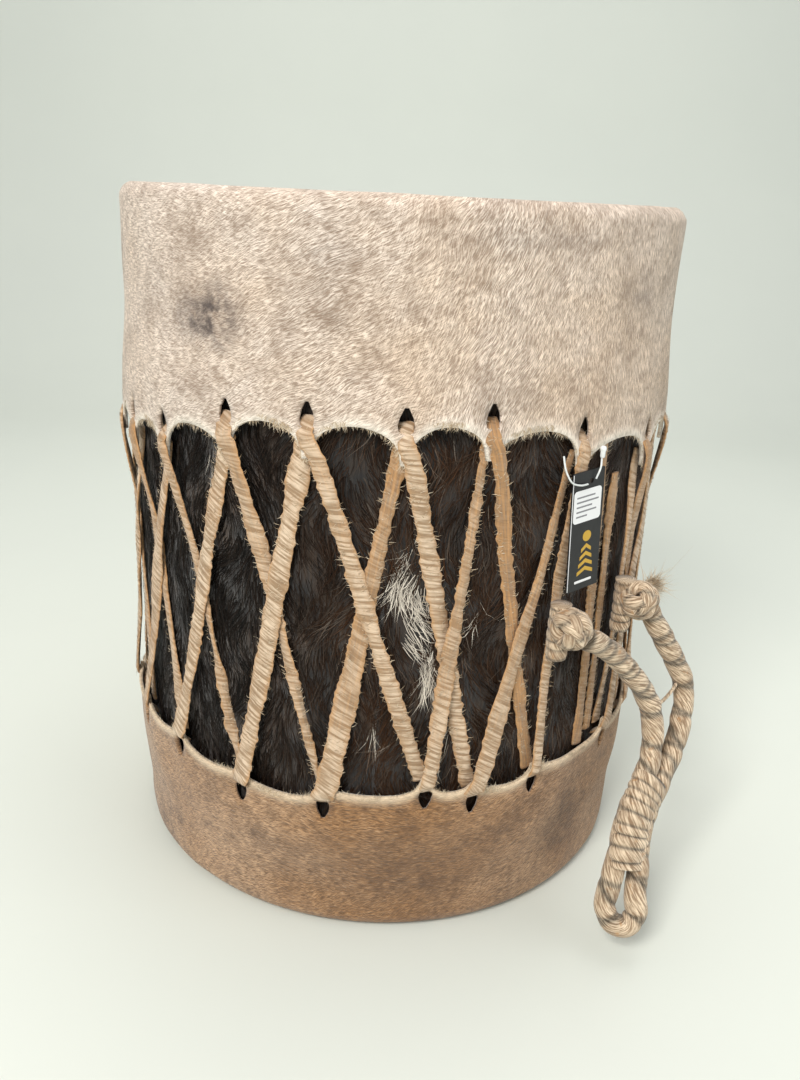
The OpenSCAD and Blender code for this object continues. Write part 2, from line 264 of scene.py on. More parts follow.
class Net:
    """Short calls for building one material's nodes."""

    def __init__(self, name, roughness=0.7):
        self.material = bpy.data.materials.new(name)
        self.material.use_nodes = True
        self.tree = self.material.node_tree
        self.shader = self.tree.nodes["Principled BSDF"]
        self.shader.inputs["Roughness"].default_value = roughness

    def node(self, kind, inputs=None, **props):
        n = self.tree.nodes.new("ShaderNode" + kind)
        for key, value in props.items():
            setattr(n, key, value)
        for key, value in (inputs or {}).items():
            self.put(n.inputs[key], value)
        return n

    def put(self, socket, value):
        if isinstance(value, bpy.types.NodeSocket):
            self.tree.links.new(value, socket)
        elif value is not None:
            if socket.type == "RGBA" and len(value) == 3:
                value = (*value, 1)
            socket.default_value = value

    def math(self, op, a, b=None, clamp=False):
        n = self.node("Math", {0: a}, operation=op, use_clamp=clamp)
        if b is not None:
            self.put(n.inputs[1], b)
        return n.outputs[0]

    def mix(self, fac, a, b, blend="MIX"):
        n = self.node("Mix", data_type="RGBA", blend_type=blend, clamp_factor=True)
        self.put(n.inputs[0], fac)
        self.put(n.inputs[6], a)
        self.put(n.inputs[7], b)
        return n.outputs[2]

    def attr(self, name, out="Fac"):
        return self.node("Attribute", attribute_name=name).outputs[out]

    def stretch(self, vector, scale, turn=0.0):
        n = self.node("Mapping", {"Vector": vector}, vector_type="POINT")
        n.inputs["Rotation"].default_value = (0, 0, turn)
        first = n.outputs[0]
        m = self.node("Mapping", {"Vector": first}, vector_type="POINT")
        m.inputs["Scale"].default_value = scale
        return m.outputs[0]

    def noise(self, vector, scale=1.0, detail=2.0, rough=0.55, distortion=0.0):
        n = self.node("TexNoise", {"Vector": vector, "Scale": scale, "Detail": detail,
                                   "Roughness": rough, "Distortion": distortion})
        return n.outputs["Fac"]

    def ramp(self, fac, *stops):
        n = self.node("ValToRGB", {"Fac": fac})
        r = n.color_ramp
        while len(r.elements) < len(stops):
            r.elements.new(0.5)
        for e, (at, colour) in zip(r.elements, stops):
            e.position = at
            e.color = (*colour, 1) if len(colour) == 3 else colour
        return n.outputs[0]

    def span(self, value, low, high, to_low=0.0, to_high=1.0):
        n = self.node("MapRange", {"Value": value, "From Min": low, "From Max": high,
                                   "To Min": to_low, "To Max": to_high}, clamp=True)
        return n.outputs[0]

    def bump(self, height, strength, distance, under=None):
        n = self.node("Bump", {"Strength": strength, "Distance": distance, "Height": height})
        if under is not None:
            self.put(n.inputs["Normal"], under)
        return n.outputs[0]

    def finish(self, colour, rough=None, normal=None, **sockets):
        self.put(self.shader.inputs["Base Color"], colour)
        if rough is not None:
            self.put(self.shader.inputs["Roughness"], rough)
        if normal is not None:
            self.put(self.shader.inputs["Normal"], normal)
        for key, value in sockets.items():
            self.put(self.shader.inputs[key.replace("_", " ")], value)
        return self.material


def hair_streaks(net, flat, lay, turns=(-45, -10, 25, 60, 95), across=1300.0, along=150.0):
    """Streaks that follow the lay attribute, blended from a few fixed directions. flat is a vector in
    metres on the hide, and lay is the hair's angle from upright, in degrees."""
    wander = net.node("TexNoise", {"Vector": flat, "Scale": 16.0, "Detail": 2.0})
    shift = net.node("VectorMath", {0: wander.outputs["Color"], 1: (0.5, 0.5, 0.5)}, operation="SUBTRACT")
    push = net.node("VectorMath", {0: shift.outputs[0]}, operation="SCALE")
    push.inputs["Scale"].default_value = 0.02
    moved = net.node("VectorMath", {0: flat, 1: push.outputs[0]}, operation="ADD").outputs[0]
    total = None
    for t in turns:
        gap = net.math("ABSOLUTE", net.math("SUBTRACT", lay, float(t)))
        weight = net.span(gap, 0.0, 35.0, 1.0, 0.0)
        vector = net.stretch(moved, (across, along, 1.0), math.radians(t))
        part = net.math("MULTIPLY", weight, net.noise(vector, 1.0, 3.0, 0.62))
        total = part if total is None else net.math("ADD", total, part)
    return total


def light_hide(name, hair, shade, tan_and_right_shade, edge_hair, spots):
    """Short hair-on hide: streaks along the lay, soft patches, darker clumps and pale edges."""
    net = Net(name, 0.82)
    flat = net.attr("flat", "Vector")
    lay = net.attr("lay")
    streak = hair_streaks(net, flat, lay)
    clump = hair_streaks(net, flat, lay, (-10, 25, 60, 95), 420.0, 90.0)
    patch = net.noise(flat, 9.0, 4.0, 0.6)
    fine = net.noise(flat, 900.0, 2.0, 0.6)
    # the tan amount also carries painted shade on the drum's right side
    tan_and_right_shade_amount = net.math("ADD", net.attr("tan_and_right_shade"), net.span(patch, 0.35, 0.7, -0.25, 0.25))
    base = net.mix(net.math("MULTIPLY", tan_and_right_shade_amount, 1.0, True), hair, tan_and_right_shade)
    dark = net.mix(0.78, base, shade)
    body = net.mix(net.span(streak, 0.43, 0.55), dark, base)
    body = net.mix(net.span(clump, 0.35, 0.55, 0.7, 0.0), body, dark)
    mottle = net.noise(flat, 55.0, 4.0, 0.7)
    body = net.mix(net.span(mottle, 0.5, 0.7, 0.0, 0.5), body, shade)
    stain = net.noise(flat, 14.0, 5.0, 0.72)
    body = net.mix(net.span(stain, 0.50, 0.68, 0.0, 0.6), body, shade)
    lightest = net.mix(net.span(streak, 0.58, 0.75, 0.0, 0.6), body, edge_hair)
    broken = net.span(net.noise(flat, 70.0, 3.0, 0.7), 0.38, 0.58, 0.35, 1.0)
    spot = net.math("MULTIPLY", net.span(net.attr("spot"), 0.05, 0.75), broken)
    marked = net.mix(spot, lightest, spots)
    rim = net.math("MULTIPLY", net.attr("edge"), net.span(streak, 0.3, 0.6, 0.35, 0.9))
    colour = net.mix(rim, marked, edge_hair)
    height = net.math("ADD", streak, net.math("MULTIPLY", clump, 1.6))
    normal = net.bump(height, 0.7, 0.0016)
    normal = net.bump(net.math("ADD", mottle, net.math("MULTIPLY", fine, 0.4)), 0.3, 0.001, normal)
    rough = net.span(streak, 0.3, 0.7, 0.92, 0.7)
    return net.finish(colour, rough, normal, Sheen_Weight=0.25, Sheen_Roughness=0.5, Specular_IOR_Level=0.25)


def pile_material(name, dark, mid, bright):
    """Hair strands: their tint attribute runs from dark through mid to bright, paler at the tips."""
    net = Net(name, 0.5)
    tint = net.attr("tint")
    share = net.attr("share")
    colour = net.ramp(tint, (0.0, dark), (0.45, mid), (1.0, bright))
    along = net.noise(net.attr("flat", "Vector"), 260.0, 2.0, 0.6)
    colour = net.mix(net.span(share, 0.0, 0.6, 0.55, 0.0), colour, dark)
    colour = net.mix(net.math("MULTIPLY", net.span(along, 0.5, 0.75, 0.0, 0.6), tint), colour, bright)
    rough = net.span(along, 0.3, 0.7, 0.42, 0.62)
    return net.finish(colour, rough, net.bump(along, 0.2, 0.0006), Specular_IOR_Level=0.14)


def dark_skin():
    """The dark body hide under its pile."""
    net = Net("dark_hide_skin", 0.8)
    flat = net.attr("flat", "Vector")
    streak = hair_streaks(net, flat, net.attr("lay"), (-45, 0, 45), 420.0, 30.0)
    brown = net.span(net.noise(flat, 12.0, 3.0, 0.6), 0.45, 0.75, 0.0, 1.0)
    low = net.mix(brown, (0.006, 0.005, 0.005), (0.028, 0.014, 0.007))
    high = net.mix(brown, (0.022, 0.017, 0.014), (0.10, 0.052, 0.022))
    colour = net.mix(net.span(streak, 0.4, 0.65), low, high)
    return net.finish(colour, None, net.bump(streak, 0.9, 0.004), Sheen_Weight=0.2)


def thong_material(name, hair, rib, flesh, gold):
    """Hide thong: ribbed short hair across its outer face, orange-gold cut edges, worn flesh patches."""
    net = Net(name, 0.7)
    run = net.attr("run", "Vector")
    lengthways = net.stretch(run, (30.0, 500.0, 1.0))
    grain = net.noise(lengthways, 1.0, 3.0, 0.6)
    ribs = net.noise(net.stretch(run, (420.0, 28.0, 1.0), 0.35), 1.0, 2.0, 0.5, 0.3)
    fine = net.noise(net.stretch(run, (900.0, 120.0, 1.0), 0.5), 1.0, 2.0, 0.6)
    patch = net.noise(run, 22.0, 3.0, 0.6)
    hairy = net.mix(net.span(ribs, 0.41, 0.57), rib, hair)
    dirt = net.noise(run, 38.0, 4.0, 0.7)
    hairy = net.mix(net.span(dirt, 0.5, 0.7, 0.0, 0.7), hairy, rib)
    hairy = net.mix(net.span(fine, 0.35, 0.65, 0.35, 0.0), hairy, rib)
    worn = net.mix(net.span(grain, 0.35, 0.65), flesh, gold)
    bare = net.math("ADD", net.attr("bare"), net.span(patch, 0.5, 0.75, 0.0, 0.5), True)
    bare = net.math("MULTIPLY", bare, net.span(grain, 0.2, 0.5, 0.6, 1.0), True)
    colour = net.mix(bare, hairy, worn)
    cut = net.math("MULTIPLY", net.attr("cut"), net.span(grain, 0.3, 0.6, 0.45, 1.0))
    colour = net.mix(cut, colour, gold)
    height = net.math("ADD", net.math("MULTIPLY", ribs, 1.4), net.math("MULTIPLY", fine, 0.6))
    normal = net.bump(height, 0.6, 0.0012)
    normal = net.bump(grain, 0.3, 0.0008, normal)
    return net.finish(colour, net.span(grain, 0.3, 0.7, 0.62, 0.85), normal, Sheen_Weight=0.15)


def rope_material(name, hair, shade, groove_shade, gold):
    """Hide wound on the rope: hair that lies along the winding, with painted shade, dark grey-green, in the
    grooves.
    """
    net = Net(name, 0.75)
    run = net.attr("run", "Vector")
    streak = net.noise(net.stretch(run, (70.0, 650.0, 1.0), 0.6), 1.0, 3.0, 0.62)
    soft = net.noise(run, 40.0, 3.0, 0.6)
    body = net.mix(net.span(streak, 0.42, 0.58), shade, hair)
    body = net.mix(net.span(soft, 0.46, 0.68, 0.0, 0.6), body, shade)
    body = net.mix(net.span(net.noise(run, 95.0, 2.0, 0.6), 0.62, 0.72, 0.0, 0.6), body, gold)
    # painted shade: the grooves between the wound strands are darkened toward the groove's shade colour
    groove_shade_amount = net.math("MULTIPLY", net.attr("groove_shade"), net.span(streak, 0.25, 0.6, 1.0, 0.75), True)
    colour = net.mix(groove_shade_amount, body, groove_shade)
    normal = net.bump(streak, 0.55, 0.0014)
    return net.finish(colour, net.span(streak, 0.3, 0.7, 0.85, 0.65), normal, Sheen_Weight=0.2)


def card_material(name, colour, scuffed, rough):
    """Printed card: a little scuffed, with a fine paper tooth."""
    net = Net(name, rough)
    where = net.node("TexCoord").outputs["Object"]
    scuff = net.noise(where, 140.0, 4.0, 0.7)
    tooth = net.noise(where, 2500.0, 2.0, 0.5)
    mixed = net.mix(net.span(scuff, 0.58, 0.75, 0.0, 0.6), colour, scuffed)
    shine = net.span(scuff, 0.3, 0.7, rough - 0.08, rough + 0.1)
    return net.finish(mixed, shine, net.bump(tooth, 0.1, 0.0002))


def plastic_material():
    """Clear-white tag plastic, cloudy in places."""
    net = Net("tag_plastic", 0.25)
    where = net.node("TexCoord").outputs["Object"]
    cloud = net.noise(where, 300.0, 3.0, 0.6)
    colour = net.mix(net.span(cloud, 0.4, 0.7), (0.82, 0.84, 0.83), (0.62, 0.65, 0.64))
    return net.finish(colour, net.span(cloud, 0.3, 0.7, 0.18, 0.35), net.bump(cloud, 0.1, 0.0003))


def wood_material():
    """Rough hollowed log."""
    net = Net("log_wood", 0.75)
    where = net.node("TexCoord").outputs["Object"]
    grain = net.noise(net.stretch(where, (60.0, 60.0, 4.0)), 1.0, 5.0, 0.6, 0.4)
    colour = net.ramp(grain, (0.3, (0.16, 0.09, 0.045)), (0.55, (0.36, 0.23, 0.12)), (0.75, (0.5, 0.35, 0.2)))
    return net.finish(colour, net.span(grain, 0.3, 0.7, 0.85, 0.65), net.bump(grain, 0.5, 0.002))


HIDE_TOP = light_hide("light_hide", (0.90, 0.78, 0.68), (0.22, 0.145, 0.095), (0.76, 0.55, 0.36),
                      (0.98, 0.90, 0.78), (0.10, 0.075, 0.065))
HIDE_LOW = light_hide("tan_hide", (0.76, 0.52, 0.33), (0.08, 0.038, 0.016), (0.42, 0.22, 0.09),
                      (0.86, 0.70, 0.50), (0.07, 0.032, 0.014))
DARK_SKIN = dark_skin()
DARK_PILE = pile_material("dark_pile", (0.0022, 0.0016, 0.0013), (0.075, 0.030, 0.010), (0.90, 0.82, 0.70))
PALE_PILE = pile_material("pale_fuzz", (0.28, 0.19, 0.11), (0.55, 0.42, 0.28), (0.80, 0.70, 0.54))
THONG = thong_material("thong_hide", (0.76, 0.60, 0.44), (0.32, 0.21, 0.12), (0.21, 0.12, 0.06),
                       (0.50, 0.27, 0.11))
ROPE = rope_material("rope_hide", (0.78, 0.62, 0.44), (0.27, 0.175, 0.10), (0.022, 0.022, 0.016),
                     (0.50, 0.26, 0.10))
CARD = card_material("tag_black_card", (0.006, 0.006, 0.007), (0.022, 0.022, 0.023), 0.42)
PAPER = card_material("tag_white_paper", (0.80, 0.80, 0.80), (0.66, 0.66, 0.66), 0.6)
INK = card_material("tag_grey_bars", (0.22, 0.22, 0.23), (0.34, 0.34, 0.34), 0.6)
GOLD = card_material("tag_gold_print", (0.55, 0.33, 0.03), (0.28, 0.15, 0.02), 0.4)
PLASTIC = plastic_material()
WOOD = wood_material()

# ---- heads ----

PERIOD = 360 * MM_PER_DEG
TAB_TOP, TAB_LOW = 29.0, 18.0
TAB_HALF = 2.5                  # half the width of a tab's tip
CREST_TOP, CREST_LOW = -2.0, 6.2
BACK_HOLE = 11                  # the layout's seam lies at this hole, at the back
SKIN = 3.2
COLUMN, GRAIN = 5.0, 4.6        # spacing of the rows' columns and of the skirt's inner points
LAYER = 4.3
TEAR = [(-1.6, 13), (1.6, 13), (5.2, 6), (6.4, 0), (5.4, -4.5), (0, -6.6), (-5.4, -4.5), (-6.4, 0), (-5.2, 6)]
# how the hair lies, in degrees from upright, by angle round the drum
TOP_LAY = ([-180, -60, -20, 5, 30, 60, 180], [60, 88, 70, 40, 8, -8, 20])
LOW_LAY = ([-180, -60, 0, 60, 180], [80, 70, 88, 60, 80])
# dark marks: angle, height, the reach each way and strength
TOP_MARKS = [(-34, 523, 7.0, 17, 1.0), (-32, 540, 4.5, 10, 0.7), (-9.3, 582, 1.3, 4, 0.8),
             (-31, 509, 3, 9, 0.7), (48.5, 554, 4, 16, 0.35), (24, 590, 16, 10, 0.3), (-12, 575, 7, 12, 0.25)]
LOW_MARKS = [(44, 60, 7, 30, 0.5), (20, 90, 9, 14, 0.35), (5, 60, 24, 40, 0.4)]


def edge_curve(holes, drop, bow, top):
    """The scalloped edge of a skirt: tabs reach past each hole, with an arch between each two."""
    out = []
    n = len(holes)
    for i in range(n):
        a0, z0 = holes[i]
        a1, z1 = holes[(i + 1) % n]
        a1 += 360 if i == n - 1 else 0
        sign = 1 if top else -1
        tip0, tip1 = z0 - sign * drop, z1 - sign * drop
        crest = (z0 + z1) / 2 + bow
        x0, x1 = a0 * MM_PER_DEG + TAB_HALF, a1 * MM_PER_DEG - TAB_HALF
        mid, half = (x0 + x1) / 2, (x1 - x0) / 2
        for t in np.linspace(0, math.pi, 17)[:-1]:
            x = mid - half * math.cos(t)
            s = math.sin(t) ** 0.85
            base = tip0 + (tip1 - tip0) * (x - x0) / (x1 - x0)
            out.append((x, base + (crest - base) * s))
        out.append((x1, tip1))
    return out


def skirt_radius(x, z, holes, edge_z, top, seed):
    """Outer radius of a skirt: smooth on the shoulder, swelling over the thongs, puckered at its edge."""
    swell = (535 - z) / 80 if top else (z - 40) / 70
    base = DRUM_R + (LIFT_OUT - DRUM_R) * smoothstep(swell)
    gap = np.abs(z - edge_z)
    place = on_drum(x / MM_PER_DEG, DRUM_R, z)
    ripple = waves(place * [1, 1, 0.35], 26, seed) * 0.9 * smoothstep(1 - gap / 75)
    lumps = waves(place, 45, seed + 1) * 0.7
    near = np.zeros_like(x)
    for a, hz in holes:
        hx = a * MM_PER_DEG
        for wrap in (-1, 0, 1):
            d = np.hypot(x - hx - wrap * PERIOD, (z - hz) * (0.8 if top else 1.0))
            near = np.maximum(near, np.exp(-(d / 13) ** 2))
    curl = 1.2 * np.exp(-(gap / 6) ** 2)
    return base + ripple + lumps * smoothstep(gap / 12) + near * 0.6 + curl


def nearest_edge(x, edge):
    """The skirt edge's height at x, at any turn round the drum."""
    ex = np.array([e[0] for e in edge])
    ez = np.array([e[1] for e in edge])
    order = np.argsort(ex)
    ex, ez = ex[order], ez[order]
    return np.interp(x, np.concatenate([ex - PERIOD, ex, ex + PERIOD]), np.tile(ez, 3))


def in_tear(cx, cz, tears):
    """Whether a point lies in one of the lace holes."""
    inside = False
    for hx, hz, tear in tears:
        if abs(cx - hx) < 8 and abs(cz - hz) < 15:
            t = np.array(tear)
            j = np.roll(t, -1, 0)
            straddles = (t[:, 1] > cz) != (j[:, 1] > cz)
            meets = (j[:, 0] - t[:, 0]) * (cz - t[:, 1]) / (j[:, 1] - t[:, 1] + 1e-12) + t[:, 0]
            inside |= bool((straddles & (cx < meets)).sum() % 2)
    return inside


def skirt_outline(edge, xs, band_z):
    """The skirt's boundary on the unrolled side: its scallops, the two sides of the seam and the band."""
    points = list(edge) + [(xs[-1], edge[0][1])]
    low, high = points[0][1], points[-1][1]
    rise = np.linspace(0, 1, 9)[1:-1]
    points += [(xs[-1], high + (band_z - high) * t) for t in rise]
    points += [(x, band_z) for x in xs[::-1]]
    points += [(xs[0], low + (band_z - low) * t) for t in rise[::-1]]
    return points


def closed_loop(first, count):
    return [(first + j, first + (j + 1) % count) for j in range(count)]


def skirt_mesh(holes, edge, xs, band_z, top, seed):
    """The skirt's points and triangles on the unrolled side, with its lace holes open."""
    x_start, x_end = xs[0], xs[0] + PERIOD
    points = skirt_outline(edge, xs, band_z)
    constraints = closed_loop(0, len(points))
    sign = 1 if top else -1
    tears = []
    for a, hz in holes:
        hx = a * MM_PER_DEG
        if hx < x_start + 1:
            hx += PERIOD
        if not x_start + 8 < hx < x_end - 8:
            continue
        tear = [(hx + px * 0.95, hz + sign * pz) for px, pz in TEAR]
        constraints += closed_loop(len(points), len(tear))
        points += tear
        tears.append((hx, hz, tear))
    r = np.random.default_rng(seed)
    heights = [z for _, z in edge]
    zs = np.arange(min(heights) - 2, band_z, LAYER) if top else np.arange(band_z, max(heights) + 2, LAYER)
    gx, gz = np.meshgrid(np.arange(x_start + 3, x_end - 3, GRAIN), zs)
    gx = gx + (np.arange(len(zs)) % 2 * GRAIN / 2)[:, None] + r.uniform(-0.6, 0.6, gx.shape)
    gx, gz = gx.ravel(), gz.ravel()
    inner = sign * (gz - nearest_edge(gx, edge)) > 2.2
    inner &= sign * (band_z - gz) > 2.5
    inner &= (gx > x_start + 2.5) & (gx < x_end - 2.5)
    for hx, hz, tear in tears:
        inner &= np.hypot(gx - hx, (gz - hz - sign * 3) * 0.75) > 9.5
    points += list(zip(gx[inner], gz[inner]))
    out = geometry.delaunay_2d_cdt([Vector(p) for p in points], constraints, [], 2, 1e-5)
    flat = np.array([(p.x, p.y) for p in out[0]])
    tris = [f for f in out[2] if not in_tear(*flat[list(f)].mean(0), tears)]
    return flat, np.array(tris, int)


def head_rows(band_z, outer_z, side):
    """Radius and height of the rows past the skirt: the straight side, the rounded edge and the face."""
    straight = [(DRUM_R, z) for z in np.linspace(band_z, outer_z - side * EDGE_R, 7)[1:]]
    rounded_edge = [(DRUM_R - EDGE_R + EDGE_R * math.cos(t), outer_z - side * (EDGE_R - EDGE_R * math.sin(t)))
                    for t in np.linspace(0, math.pi / 2, 7)[1:]]
    face = [(rr, outer_z) for rr in [DRUM_R - EDGE_R - 0.2, *np.linspace(DRUM_R - EDGE_R, 0, 22)[1:-1]]]
    return np.array(straight + rounded_edge + face).T


def marks_at(turn, z, marks):
    """How strongly the dark marks show at each point."""
    spot = np.zeros(len(turn))
    for angle, height, reach_a, reach_z, amount in marks:
        away = ((turn - angle) / reach_a) ** 2 + ((z - height) / reach_z) ** 2
        spot = np.maximum(spot, amount * np.exp(-away))
    return spot


def signed_turn(a):
    return (a + 180) % 360 - 180


def build_head(name, node, holes, drop, bow, top, material, seed, band_z):
    """A head: scalloped skirt with its holes, then the rounded edge and the flat skin."""
    holes = holes[BACK_HOLE:] + [(a + 360, z) for a, z in holes[:BACK_HOLE]]
    x_start = holes[0][0] * MM_PER_DEG + TAB_HALF
    edge = edge_curve(holes, drop, bow, top)
    count = int(PERIOD / COLUMN)
    columns = count + 1
    xs = x_start + np.arange(columns) / count * PERIOD
    flat2, tris = skirt_mesh(holes, edge, xs, band_z, top, seed)
    x, z = flat2[:, 0], flat2[:, 1]
    edge_z = nearest_edge(x, edge)
    verts = on_drum(x / MM_PER_DEG, skirt_radius(x, z, holes, edge_z, top, seed), z)
    turn = signed_turn(x / MM_PER_DEG)

    side = 1 if top else -1
    outer_z = DRUM_H if top else 0.0
    sag = side * 0.6
    grid_r, grid_z = head_rows(band_z, outer_z, side)
    rr = np.repeat(grid_r[:, None], columns, 1)
    zz = np.repeat(grid_z[:, None], columns, 1)
    aa = np.repeat((xs / MM_PER_DEG)[None, :], len(grid_r), 0)
    soft = waves(on_drum(aa.ravel(), DRUM_R, zz.ravel()), 45, seed + 1).reshape(aa.shape) * 0.7
    wavy_r = rr + soft * (rr >= DRUM_R - 1)
    on_face = np.stack([(rr * np.sin(np.radians(aa))).ravel(), (rr * np.cos(np.radians(aa))).ravel()], -1)
    dip = waves(on_face, 55, seed + 6).reshape(rr.shape) * 0.5 * smoothstep((rr - 20) / 60) - sag
    wavy_z = zz + np.where(rr < DRUM_R - EDGE_R + 0.1, dip, 0.0)
    row_verts = on_drum(aa, wavy_r, wavy_z).reshape(-1, 3)

    # the band's line of skirt points is the rows' first row
    band_ids = [int(np.argmin(np.abs(x - xs[c]) + np.abs(z - band_z))) for c in range(columns)]
    row_ids = len(verts) + np.arange(len(row_verts)).reshape(len(grid_r), columns)
    ids = np.vstack([band_ids, row_ids])
    quads = np.vstack([np.stack([a[:-1], a[1:], b[1:], b[:-1]], 1) for a, b in zip(ids[:-1], ids[1:])])
    centre = len(verts) + len(row_verts)
    fan = np.stack([ids[-1][:-1], ids[-1][1:], np.full(count, centre)], 1)
    if not top:
        quads, fan = quads[:, ::-1], fan[:, ::-1]
    all_verts = np.vstack([verts, row_verts, [[0, 0, outer_z - sag]]])

    # the flat face carries a planar layout, the side an unrolled one
    past_corner = (rr < DRUM_R - EDGE_R - 0.1).ravel()
    profile = np.concatenate([[0], np.cumsum(np.hypot(np.diff(grid_r), np.diff(grid_z)))])
    profile_z = grid_z[0] + side * np.repeat(profile, columns)
    layout_x = np.where(past_corner, on_face[:, 0], aa.ravel() * MM_PER_DEG)
    layout_z = np.where(past_corner, -on_face[:, 1], profile_z)
    row_flat = np.stack([layout_x, layout_z, np.full(layout_x.shape, 0.3)], -1)
    flat_all = np.vstack([np.column_stack([flat2, np.zeros(len(flat2))]), row_flat, [[0, 0, 0.3]]]) * MM

    row_turn = signed_turn(aa.ravel())
    row_lay = np.interp(row_turn, *TOP_LAY) if top else np.full(len(row_verts), 75.0)
    lay = np.concatenate([np.interp(turn, *(TOP_LAY if top else LOW_LAY)), row_lay, [50.0]])
    edge_hair = smoothstep(1 - np.abs(z - edge_z) / (9 if top else 11))
    edge_hair = np.concatenate([edge_hair, np.zeros(len(row_verts) + 1)])
    all_turn = np.concatenate([turn, row_turn, [0]])
    # how tan each point is: a base tan for each head and more toward the drum's right side, partly the hide's
    # own tan and partly painted shade on the right; the bottom head is also tanner at the front
    tan_and_right_shade = (0.25 if top else 0.55) + 0.3 * smoothstep((all_turn - 10) / 50)
    if not top:
        tan_and_right_shade += 0.5 * np.exp(-((all_turn - 5) / 22) ** 2)
    spot = marks_at(all_turn, np.concatenate([z, zz.ravel(), [outer_z]]), TOP_MARKS if top else LOW_MARKS)
    ob = make_mesh(name, all_verts, quads, np.vstack([tris, fan]), [material],
                   {"flat": flat_all, "lay": lay, "edge": edge_hair, "tan_and_right_shade": tan_and_right_shade, "spot": spot})
    solid = ob.modifiers.new("skin", "SOLIDIFY")
    solid.thickness = SKIN * MM
    solid.offset = -1
    solid.use_quality_normals = True
    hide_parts(node)
    return ob, edge


TOP_HEAD, TOP_EDGE = build_head("top_hide", "top_head", TOP_HOLES, TAB_TOP, CREST_TOP, True, HIDE_TOP,
                                11, 525.0)
LOW_HEAD, LOW_EDGE = build_head("bottom_hide", "bottom_head", LOW_HOLES, TAB_LOW, CREST_LOW, False, HIDE_LOW,
                                23, 42.0)

# ---- lacing ----

OVER_R, UNDER_R, BEHIND_R, FRONT_R, THROUGH_R = 251.9, 247.8, 248.8, 257.7, 251.0
THONG_T = 3.6
# each run's width at its top and foot, then how bare of hair it is there, by hole and side
RUN_LOOKS = {(21, -1): (18, 18, 0, 0), (0, -1): (13, 22, 0.9, 0), (21, 1): (15, 15, 0.2, 0.1),
             (20, 1): (18, 10, 0.3, 0.3), (20, -1): (16, 16, 0, 0), (19, 1): (11, 11, 0.4, 0.4),
             (1, -1): (9, 17, 0.8, 0), (1, 1): (13, 14, 0.95, 0.9), (0, 1): (15, 16, 0.1, 0.1),
             (2, -1): (9, 20, 0.9, 0), (2, 1): (12, 13, 0.4, 0.2), (3, -1): (12, 15, 0.3, 0.1)}


def run_points(top, low, top_front, low_front, mid):
    """One run's points. At a front end it dips into the hole, otherwise it stops behind the tab."""
    (a0, z0), (a1, z1) = top, low
    a1 = a0 + (a1 - a0 + 180) % 360 - 180

    def at(z):
        return a0 + (a1 - a0) * (z0 - z) / (z0 - z1)

    zm = (z0 + z1) / 2
    if top_front:
        head = [(a0, THROUGH_R - 4, z0 + 1), (a0, FRONT_R, z0 - 12), (at(z0 - 32), FRONT_R, z0 - 32)]
    else:
        head = [(at(z0 - 14), BEHIND_R, z0 - 14), (at(z0 - 36), BEHIND_R, z0 - 36)]
    settle = 0.09 * (FRONT_R - mid)
    middle = [(at(zm + 55), mid + settle * top_front, zm + 55), (at(zm), mid, zm),
              (at(zm - 55), mid + settle * low_front, zm - 55)]
    if low_front:
        foot = [(at(z1 + 26), FRONT_R, z1 + 26), (a1, FRONT_R, z1 + 11), (a1, THROUGH_R - 3, z1 + 1)]
    else:
        foot = [(at(z1 + 28), BEHIND_R, z1 + 28), (at(z1 + 12), BEHIND_R, z1 + 12)]
    return [on_drum(a, r, z) for a, r, z in head + middle + foot]


def with_caps(values):
    """Values for a sweep's rings and then its two end points."""
    return np.concatenate([values, values[:1], values[-1:]])


